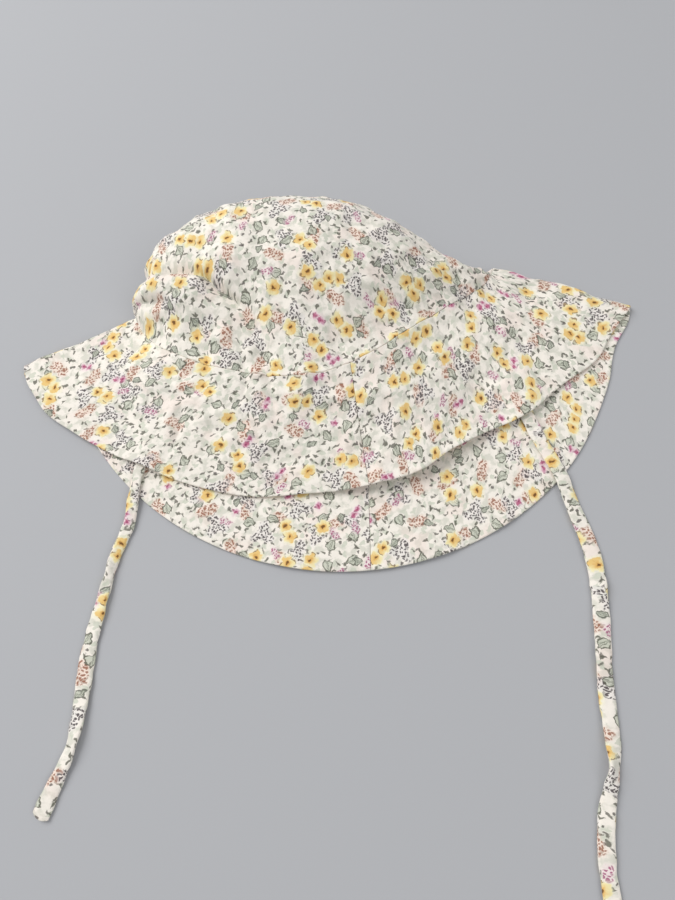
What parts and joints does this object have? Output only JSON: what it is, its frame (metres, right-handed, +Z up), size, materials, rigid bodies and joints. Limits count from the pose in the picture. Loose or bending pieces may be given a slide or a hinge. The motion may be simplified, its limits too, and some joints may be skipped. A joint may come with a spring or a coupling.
{
  "type": "baby sun hat",
  "caption": "Baby's woven cotton sun hat with a puffed crown, a wide brim and long ties, lying folded on a table with the brim towards the viewer.",
  "frame": {"origin": "on the table, under the middle of the hat without its ties", "axes": "+Z up from the table, +X from the left wing of the brim to the right one, +Y from the brim's outer edge to the crown"},
  "size_m": [0.3242, 0.3489, 0.0432],
  "materials": {
    "floral_cotton": "matt woven cotton, ivory with a small floral print"
  },
  "bodies": {
    "root": {"crown": "floral_cotton", "brim_left": "floral_cotton", "brim_right": "floral_cotton", "tie_left": "floral_cotton", "tie_right": "floral_cotton"}
  },
  "joints": []
}
